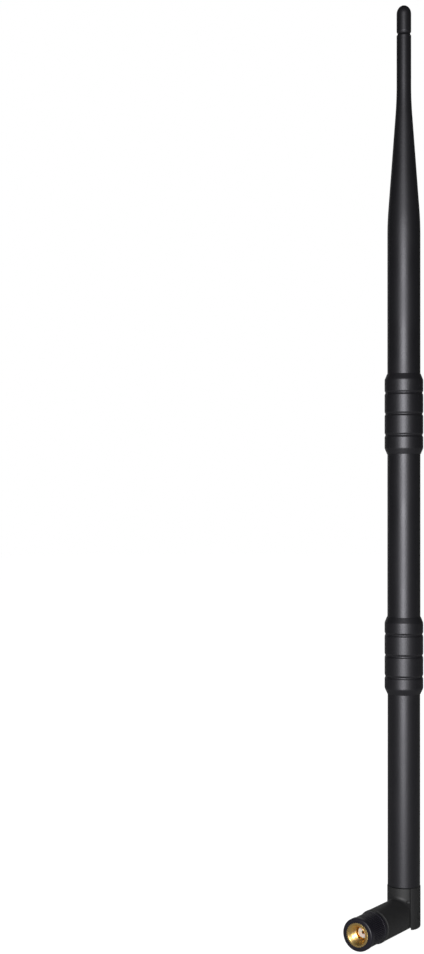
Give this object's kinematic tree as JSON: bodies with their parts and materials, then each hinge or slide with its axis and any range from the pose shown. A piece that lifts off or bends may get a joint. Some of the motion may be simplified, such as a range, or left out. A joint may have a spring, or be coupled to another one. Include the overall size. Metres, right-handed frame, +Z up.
{
  "type": "wifi antenna",
  "caption": "Long whip antenna for a wireless router: a slim black jointed mast on a tilting elbow, with a gold reverse-polarity screw plug in a ribbed grip.",
  "frame": {"origin": "on the connector's axis, at the mouth of the coupling nut", "axes": "-X points out of the plug's mouth, along the connector's axis; +Z runs up the mast when the elbow is at its 90 degree stop; Y is the elbow's hinge axis"},
  "size_m": [0.0448, 0.015, 0.3632],
  "materials": {
    "mast_plastic": "black moulded plastic, finely textured, satin",
    "elbow_plastic": "black moulded plastic, matte",
    "grip_plastic": "black moulded plastic, fine ribs, low sheen",
    "gold_plate": "gold plated brass, turned",
    "contact_gold": "gold plated, bright",
    "spring_metal": "spring wire",
    "ptfe": "white, waxy",
    "lead_jacket": "brown, smooth",
    "shrink_tube": "black, smooth",
    "brass_tube": "drawn brass, bare",
    "copper_wire": "drawn copper, bare",
    "foam": "closed cell foam, pale"
  },
  "bodies": {
    "connector": {"plug_shell": "gold_plate", "insulator": "ptfe", "centre_contact": "contact_gold", "retaining_ring": "spring_metal", "crimp_ferrule": "gold_plate", "coax_lead": "lead_jacket", "arm_housing": "elbow_plastic"},
    "coupling": {"coupling_nut": "gold_plate", "grip_sleeve": "grip_plastic"},
    "mast": {"mast_base": "elbow_plastic", "front_hinge_pin": "elbow_plastic", "back_hinge_pin": "elbow_plastic", "lower_tube": "mast_plastic", "lower_collar": "mast_plastic", "middle_tube": "mast_plastic", "upper_collar": "mast_plastic", "upper_tube": "mast_plastic", "tip_cap": "mast_plastic", "choke_sleeve": "brass_tube", "choke_bead": "ptfe", "feed_sleeve": "shrink_tube", "radiator_wire": "copper_wire", "lower_spacer": "foam", "middle_spacer": "foam", "upper_spacer": "foam"}
  },
  "joints": [
    {"name": "nut_spin", "type": "hinge", "parent": "connector", "child": "coupling", "pos_m": [0, 0, 0], "axis": [1, 0, 0], "continuous": true},
    {"name": "elbow_tilt", "type": "hinge", "parent": "connector", "child": "mast", "pos_m": [0.0372, 0, 0], "axis": [0, 1, 0], "range_deg": [0, 90], "deforming": ["coax_lead"]}
  ]
}
